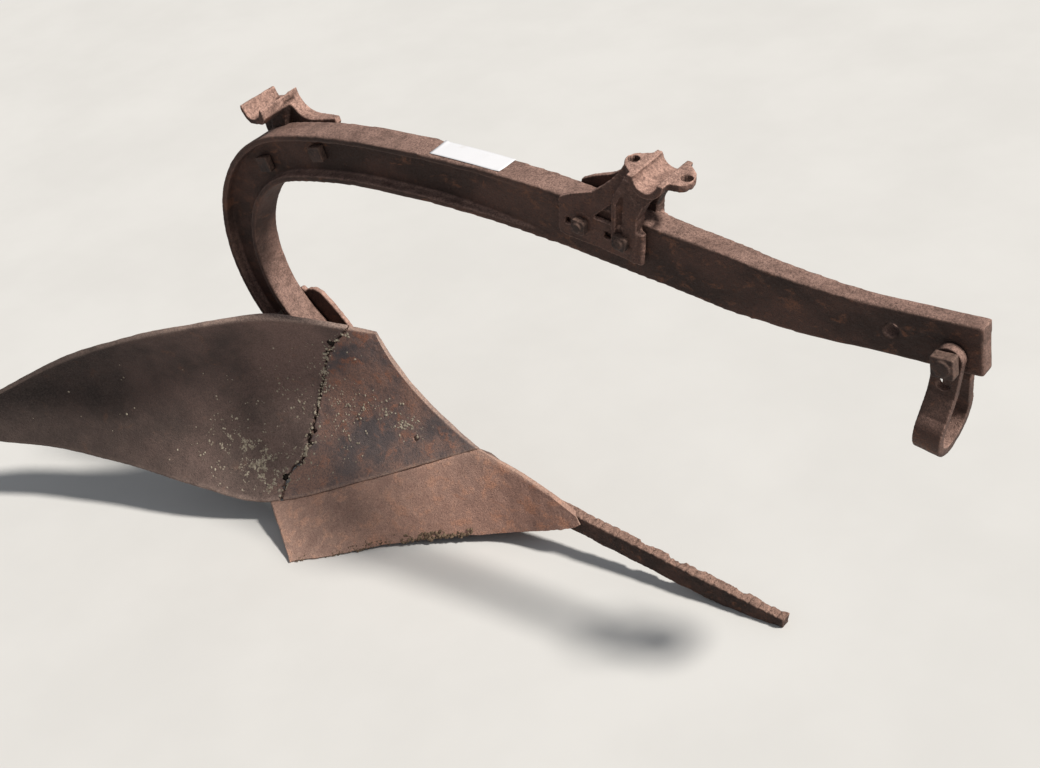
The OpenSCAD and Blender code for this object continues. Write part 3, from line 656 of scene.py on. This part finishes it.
def grid_plate(name, front, back):
    """A closed plate from a front and a back grid of points in millimetres."""
    rows, cols = front.shape[:2]
    verts = np.concatenate([front.reshape(-1, 3), back.reshape(-1, 3)]) * MM
    n = rows * cols
    idx = np.arange(n).reshape(rows, cols)
    a, b, c, d = idx[:-1, :-1].ravel(), idx[:-1, 1:].ravel(), idx[1:, 1:].ravel(), idx[1:, :-1].ravel()
    faces = np.concatenate([np.stack([a, d, c, b], 1), np.stack([a, b, c, d], 1) + n])
    rim = np.concatenate([idx[0, :-1], idx[:-1, -1], idx[-1, :0:-1], idx[:0:-1, 0]])
    nxt = np.roll(rim, -1)
    faces = np.concatenate([faces, np.stack([rim, nxt, nxt + n, rim + n], 1)])
    mesh = bpy.data.meshes.new(name)
    mesh.from_pydata(verts.tolist(), [], faces.tolist())
    bm = bmesh.new()
    bm.from_mesh(mesh)
    bmesh.ops.recalc_face_normals(bm, faces=bm.faces)
    bm.to_mesh(mesh)
    bm.free()
    return link(name, mesh)


def wobble(values, scale, height, seed):
    got = [noise.noise(Vector((v * scale, seed, 0.3))) for v in values.ravel()]
    return height * np.array(got).reshape(values.shape)


def rounded(u, v, su, sv, r=2.6):
    """How far a face draws in near the rim: su and sv are the plate's lengths in millimetres."""
    d = np.minimum(np.minimum(u, 1 - u) * su, np.minimum(v, 1 - v) * sv)
    x = np.clip(1 - d / r, 0, 1)
    return r * (1 - np.sqrt(np.clip(1 - x * x, 0, 1)))


WORN = 5.0


def add_wear(obj, rim):
    """Bright wear along the rims of a plate, from 0 to 1, the same for front and back."""
    worn = obj.data.attributes.new("wear", "FLOAT", "POINT")
    worn.data.foreach_set("value", np.tile(np.clip(rim * 2.5, 0, 1).ravel(), 2).astype(np.float32))


def curved_plate(name, u_low, u_high, nu, nv, su, sv, keep):
    """A plate between two lines u_low(v) and u_high(v); keep(s) hides the joint's rim from wear."""
    s, v = np.meshgrid(eased(nu, 1.2 / su), eased(nv, 1.6 / sv))
    lo, hi = u_low(v), u_high(v)
    u = lo + (hi - lo) * s
    at, normal = face_pt(u, v), face_normal(u, v)
    pull = rounded(s, v, su, sv)
    obj = grid_plate(name, at - normal * pull[..., None], at - normal * (PLATE_T - pull)[..., None])
    add_wear(obj, rounded(keep(s), v, su, sv, WORN) / WORN)
    return obj


def point_near(u, v):
    u, v = np.array([[u]], float), np.array([[v]], float)
    return face_pt(u, v)[0, 0], face_normal(u, v)[0, 0]


# Holes burnt in the joint and a sunk plug: place along and up the plates, radius, squash, depth
WELD_HOLES = [(0.102, 0.845, 5.2, 1.0, 16), (0.268, 0.10, 4.3, 1.1, 13), (0.266, 0.05, 3.4, 1.5, 9),
              (0.065, 0.15, 3.4, 1.0, 5)]
# The joint's half gap along u, tighter above TIGHT_FROM
GAP_U, TIGHT_FROM, TIGHT = 0.0019, 0.78, 0.35


def add_weld_holes(bm):
    for u, v, radius, squash, deep in WELD_HOLES:
        at, axis = point_near(u, v)
        turn = Vector(axis).to_track_quat("Z", "Y").to_matrix().to_4x4()
        place = Matrix.Translation(Vector(at) * MM) @ turn @ Matrix.Diagonal((1, squash, 1, 1)) @ METRES
        bmesh.ops.create_cone(bm, cap_ends=True, segments=28, radius1=radius, radius2=radius, depth=deep,
                              matrix=place)


def make_plates():
    def ragged(v, seed):
        bites = wobble(v, 30, 0.0110, seed) + wobble(v, 90, 0.0060, seed + 2.4)
        return (np.maximum(0, bites) + GAP_U) * np.where(v > TIGHT_FROM, TIGHT, 1.0)

    board = curved_plate("moldboard_skin", lambda v: weld_u(v) + ragged(v, 1.7), np.ones_like, 230, 110,
                         BOARD_L, PLATE_H, lambda s: np.maximum(s, 0.5))
    shin = curved_plate("shin_skin", np.zeros_like, lambda v: weld_u(v) - ragged(v, 8.2), 76, 110,
                        SHIN_L, PLATE_H, lambda s: np.minimum(s, 0.5))
    for obj, node, material, seed in ((board, "moldboard", PLATE, 3.0), (shin, "shin", SHIN, 5.0)):
        cut(obj, add_weld_holes)
        rough_up(obj.data, PLATE_WAVES, seed)
        finish_mesh(obj, material)
        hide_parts(node)


# Share: the source's edge and land rows, then the seam under the curved plates; millimetres
SHARE_EDGE = np.array([[287, -2, 50], [262, -9, 38], [174, -28, 14], [57, -92, 4], [7, -133, 0],
                       [-51, -181, 0]], float)
SHARE_LAND = np.array([[282, -0.5, 62], [246, -0.5, 82], [204, -0.5, 98]], float)
SEAM_END = 2 / LAST
SEAM_OFF = np.array([0.6, -0.5, -0.4])


def share_upper(w):
    """Upper edge at w, from 0 at the nose over 3 at the seam's start to 5 at the wing."""
    i = np.minimum(1, np.floor(np.clip(w, 0, 2))).astype(int)
    t = (np.clip(w, 0, 2) - i)[..., None]
    land = SHARE_LAND[i] * (1 - t) + SHARE_LAND[i + 1] * t
    k = np.clip(w - 2, 0, 1)[..., None]
    seam = row_at(SEAM_END * np.clip((w - 3) / 2, 0, 1))[..., 0:3] + SEAM_OFF
    upper = np.where(w[..., None] < 2, land, SHARE_LAND[2] * (1 - k) + seam * k)
    return np.where(w[..., None] >= 3, seam, upper)


def make_share():
    w, s = np.meshgrid(np.linspace(0, 5, 200), eased(46, 0.012))
    edge, upper = curve_through(SHARE_EDGE, w), share_upper(w)
    ragged = 2.5 * wobble(w, 2.2, 1.0, 9.0) + 1.6 * wobble(w, 9.0, 1.0, 3.0)
    lump = np.exp(-((w - 2.55) / 0.22) ** 2)
    across = upper - edge
    length = np.linalg.norm(across, axis=-1, keepdims=True)
    start = edge + across / length * (np.maximum(0, ragged) * (1 - s))[..., None]
    at = start + (upper - start) * s[..., None]
    normal = np.cross(np.gradient(at, axis=0), np.gradient(at, axis=1))
    normal /= np.linalg.norm(normal, axis=-1, keepdims=True) + 1e-9
    normal *= np.sign(normal[..., 2:3] + 1e-6)
    thick = 2.2 + 6.3 * np.clip(s * 2.2, 0, 1)
    lift = 2.0 * (1 - s) + 2.2 * lump * np.exp(-(s / 0.12) ** 2)
    draw = np.where(s > 0.97, (s - 0.97) / 0.03 * 1.2, 0)
    up = np.array([0, 0, 1.0]) * lift[..., None]
    front = at + up - normal * draw[..., None]
    back = at + up - normal * (thick - draw)[..., None]
    back[..., 2] = np.maximum(back[..., 2], 0.15)
    obj = grid_plate("share_skin", front, back)
    rough_up(obj.data, SHARE_WAVES, 7.0)
    finish_mesh(obj, SHARE)
    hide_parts("share")


# Weld joint and clods of dry soil
def ball(subdivisions):
    bm = bmesh.new()
    bmesh.ops.create_icosphere(bm, subdivisions=subdivisions, radius=1.0)
    verts = np.array([v.co[:] for v in bm.verts])
    faces = np.array([[v.index for v in f.verts] for f in bm.faces])
    bm.free()
    return verts, faces


# Lumps under SMALL millimetres get the coarser ball
BALLS = {1: ball(1), 2: ball(2)}
SMALL = 0.8


def lump_piece(name, spots, material, seed):
    """One mesh of lumps: spots are point and normal in millimetres, size, flatness."""
    rng = random.Random(seed)
    all_verts, all_faces, start = [], [], 0
    for at, axis, size, flat in spots:
        verts, faces = BALLS[1 if size < SMALL else 2]
        spin = Matrix.Rotation(rng.uniform(0, 2 * math.pi), 3, "Z")
        turn = Vector(axis).to_track_quat("Z", "Y").to_matrix() @ spin
        form = np.array([rng.uniform(0.8, 1.3), rng.uniform(0.7, 1.2), flat * rng.uniform(0.7, 1.2)]) * size
        offset = Vector((rng.uniform(0, 50), rng.uniform(0, 50), 0))
        swell = np.array([1 + 0.35 * noise.noise(Vector(v) * 1.7 + offset) for v in verts])
        all_verts.append((verts * swell[:, None] * form) @ np.array(turn).T + np.array(at))
        all_faces.append(faces + start)
        start += len(verts)
    points = np.concatenate(all_verts) * MM
    points[:, 2] = np.maximum(points[:, 2], 0)
    mesh = bpy.data.meshes.new(name)
    mesh.from_pydata(points.tolist(), [], np.concatenate(all_faces).tolist())
    obj = link(name, mesh)
    finish_mesh(obj, material)


# The bead leaves these heights free for the holes; a near-black plug of painted shade lies this far down in
# them
BEAD_LUMPS, BEAD_GAPS, HOLE_SHADE_DOWN = 90, ((0.07, 0.13), (0.82, 0.87)), 2.9


def make_weld():
    rng = random.Random(11)
    bead, crumbs, shade_plugs = [], [], []
    for k in range(BEAD_LUMPS):
        v = 0.02 + 0.96 * k / (BEAD_LUMPS - 1)
        if any(low < v < high for low, high in BEAD_GAPS):
            continue
        at, axis = point_near(weld_u(v) + rng.uniform(-0.004, 0.004), v)
        bead.append((at - axis * rng.uniform(3.0, 6.0), axis, rng.uniform(1.6, 3.2), 0.8))
        for _ in range(rng.randrange(5)):
            at, axis = point_near(weld_u(v) + rng.gauss(0, 0.006), v)
            crumbs.append((at - axis * 0.3, axis, rng.uniform(0.6, 2.2), 0.6))
    # Near-black plugs of painted shade sunk in the first two holes
    for u, v, radius, *_ in WELD_HOLES[:2]:
        at, axis = point_near(u, v)
        shade_plugs.append((at - axis * HOLE_SHADE_DOWN, axis, radius * 1.3, 0.3))
    lump_piece("weld_bead", bead, BOLT, 5)
    lump_piece("hole_shade_plug", shade_plugs, HOLE_SHADE, 7)
    lump_piece("weld_crumbs", crumbs, DIRT, 6)


# Patches of soil specks on the curved plates: columns u, v, spread of u, spread of v, count
SPECKS = [(0.318, 0.13, 0.034, 0.09, 2600), (0.35, 0.26, 0.04, 0.11, 900), (0.25, 0.45, 0.03, 0.22, 260),
          (0.062, 0.28, 0.011, 0.06, 330), (0.10, 0.38, 0.025, 0.08, 160), (0.17, 0.45, 0.02, 0.18, 260),
          (0.19, 0.12, 0.05, 0.08, 60), (0.50, 0.50, 0.16, 0.20, 90), (0.08, 0.75, 0.02, 0.08, 30)]


def make_specks():
    rng = random.Random(23)
    spots = []
    for u0, v0, du, dv, count in SPECKS:
        for _ in range(count):
            u, v = rng.gauss(u0, du), rng.gauss(v0, dv)
            clump = noise.noise(Vector((u * 70, v * 22, 3.0)))
            if not (0.01 < u < 0.97 and 0.03 < v < 0.96) or abs(u - weld_u(v)) < 0.004 or clump < -0.02:
                continue
            at, axis = point_near(u, v)
            spots.append((at - axis * 0.2, axis, min(1.7, abs(rng.gauss(0.3, 0.5)) + 0.4), 0.55))
    lump_piece("soil_specks", spots, DIRT, 24)


# Lumps of soil stuck along the share's edge: from and to along it, count, most size in millimetres
EDGE_SOIL = [(2.3, 3.0, 130, 2.8), (3.1, 4.9, 150, 1.4)]


def make_edge_soil():
    rng = random.Random(31)
    spots = []
    for w0, w1, count, most in EDGE_SOIL:
        for _ in range(count):
            w = np.array([rng.uniform(w0, w1)])
            s = abs(rng.gauss(0.02, 0.05))
            at = (curve_through(SHARE_EDGE, w) * (1 - s) + share_upper(w) * s)[0]
            size = rng.uniform(0.5, most)
            at[2] = max(at[2] + 1.2, 0.3)
            spots.append((at, (0, -0.6, 0.8), size, 0.7))
    lump_piece("edge_soil", spots, CAKED, 32)


# Blank paper label on the beam's top: from and to along the beam's middle line, from and to across it
LABEL_S, LABEL_Y = (FALL_S + 92, FALL_S + 185), (-13.0, 15.5)


def make_label():
    cols, rows = 30, 10
    verts = []
    for j in range(rows + 1):
        for i in range(cols + 1):
            a, b = i / cols, j / rows
            s = LABEL_S[0] + (LABEL_S[1] - LABEL_S[0]) * a
            x, z, heading = beam_at(s)
            half = (NECK_D + (MID_D - NECK_D) * (s - FALL_S) / (SLOPE_S + 60 - FALL_S)) / 2
            front_curl = 2.2 * max(0.0, a - 0.9) / 0.1 * max(0.0, 0.35 - b)
            rear_curl = 1.2 * max(0.0, 0.06 - a) / 0.06 * b * b
            curl = front_curl + rear_curl
            lift = half + 0.5 + 0.2 * noise.noise(Vector((a * 5, b * 2, 1.0))) + curl
            turn = math.radians(heading + 90)
            y = LABEL_Y[0] + (LABEL_Y[1] - LABEL_Y[0]) * b
            verts.append(((x + lift * math.cos(turn)) * MM, y * MM, (z + lift * math.sin(turn)) * MM))
    wide = cols + 1
    faces = [(j * wide + i, j * wide + i + 1, (j + 1) * wide + i + 1, (j + 1) * wide + i)
             for j in range(rows) for i in range(cols)]
    mesh = bpy.data.meshes.new("paper_label")
    mesh.from_pydata(verts, [], faces)
    obj = link("paper_label", mesh)
    sheet = obj.modifiers.new("sheet", "SOLIDIFY")
    sheet.thickness = 0.00018
    finish_mesh(obj, PAPER)


# Camera at the photograph's viewing angle: place in metres, heading, dip and roll in degrees
CAMERA_AT = (1.307, -1.08, 1.257)
CAMERA_HEADING, CAMERA_DIP, CAMERA_ROLL = 134.742, 33.718, 12.109
LENS = 55.385


def make_camera():
    data = bpy.data.cameras.new("camera")
    data.sensor_width = 36.0
    data.lens = LENS
    data.clip_start, data.clip_end = 0.05, 100.0
    cam = bpy.data.objects.new("camera", data)
    heading, dip = math.radians(CAMERA_HEADING), math.radians(CAMERA_DIP)
    forward = Vector((math.cos(dip) * math.cos(heading), math.cos(dip) * math.sin(heading), -math.sin(dip)))
    level = forward.to_track_quat("-Z", "Y").to_matrix().to_4x4()
    roll = Matrix.Rotation(math.radians(-CAMERA_ROLL), 4, "Z")
    cam.matrix_world = Matrix.Translation(CAMERA_AT) @ level @ roll
    bpy.context.scene.collection.objects.link(cam)
    bpy.context.scene.camera = cam


def add_sun(name, energy, towards, angle, colour):
    data = bpy.data.lights.new(name, "SUN")
    data.energy = energy
    data.color = colour
    data.angle = math.radians(angle)
    obj = bpy.data.objects.new(name, data)
    direction = Vector(towards).normalized()
    obj.location = direction * 4.0
    obj.rotation_mode = "QUATERNION"
    obj.rotation_quaternion = direction.to_track_quat("Z", "Y")
    bpy.context.scene.collection.objects.link(obj)


FLOOR_HALF, FLOOR_DROP = 60.0, 0.0005
SUN_POWER, SUN_TOWARDS, SUN_SPREAD, SKY_POWER = 3.9, (0.64, 0.16, 0.72), 7, 0.27


def make_stage():
    t = Tree("floor")
    tone = t.mix(t.ramp(t.noise(3.0), 0.3, 0.7), (0.70, 0.69, 0.67), (0.74, 0.73, 0.71))
    t.put(tone, t.bsdf.inputs["Base Color"])
    t.bsdf.inputs["Roughness"].default_value = 0.9
    mesh = bpy.data.meshes.new("floor")
    mesh.from_pydata([(x, y, 0) for x, y in square(0, 0, FLOOR_HALF)], [], [(0, 1, 2, 3)])
    mesh.materials.append(t.mat)
    floor = link("floor", mesh)
    floor.location.z = -FLOOR_DROP
    world = bpy.data.worlds.new("studio")
    world.use_nodes = True
    bpy.context.scene.world = world
    back = world.node_tree.nodes["Background"]
    back.inputs["Color"].default_value = (0.82, 0.86, 0.92, 1)
    back.inputs["Strength"].default_value = SKY_POWER
    add_sun("key", SUN_POWER, SUN_TOWARDS, SUN_SPREAD, (1.0, 0.96, 0.90))


make_camera()
make_stage()
weather(cad_copy("beam"), "beam", STEEL, 0.0020, 5, BEAM_WAVES, seed=1.0)
make_frog()
weather(cad_copy("landside"), "landside", PLATE, 0.0025, 3, seed=3.0)
make_bar()
weather(cad_copy("brace"), "brace", STEEL, 0.002, 4, seed=5.0)
make_rear_saddle()
make_mid_saddle()
make_bolts("mid_bolts", "mid_saddle_bolts", MID_FRAME, MID_BOLTS, (-LEG_Y - 7, LEG_Y + 7), 15, 8, 9)
weather(cad_copy("rear_saddle_bolts"), "rear_saddle_bolts", BOLT, 0.0010, 5, BOLT_WAVES, seed=8.0)
weather(cad_copy("frog_bolts"), "frog_bolts", BOLT, 0.0012, 4, BOLT_WAVES, seed=10.0)
weather(cad_copy("clevis_strap"), "clevis_strap", STEEL, 0.0010, 4, STRAP_WAVES, "clevis", 12.0)
weather(cad_copy("clevis_bolt"), "clevis_bolt", BOLT, 0.0010, 5, PIN_WAVES, seed=13.0)
make_plates()
make_share()
make_weld()
make_specks()
make_edge_soil()
make_label()

bpy.context.scene.view_settings.view_transform = "Standard"
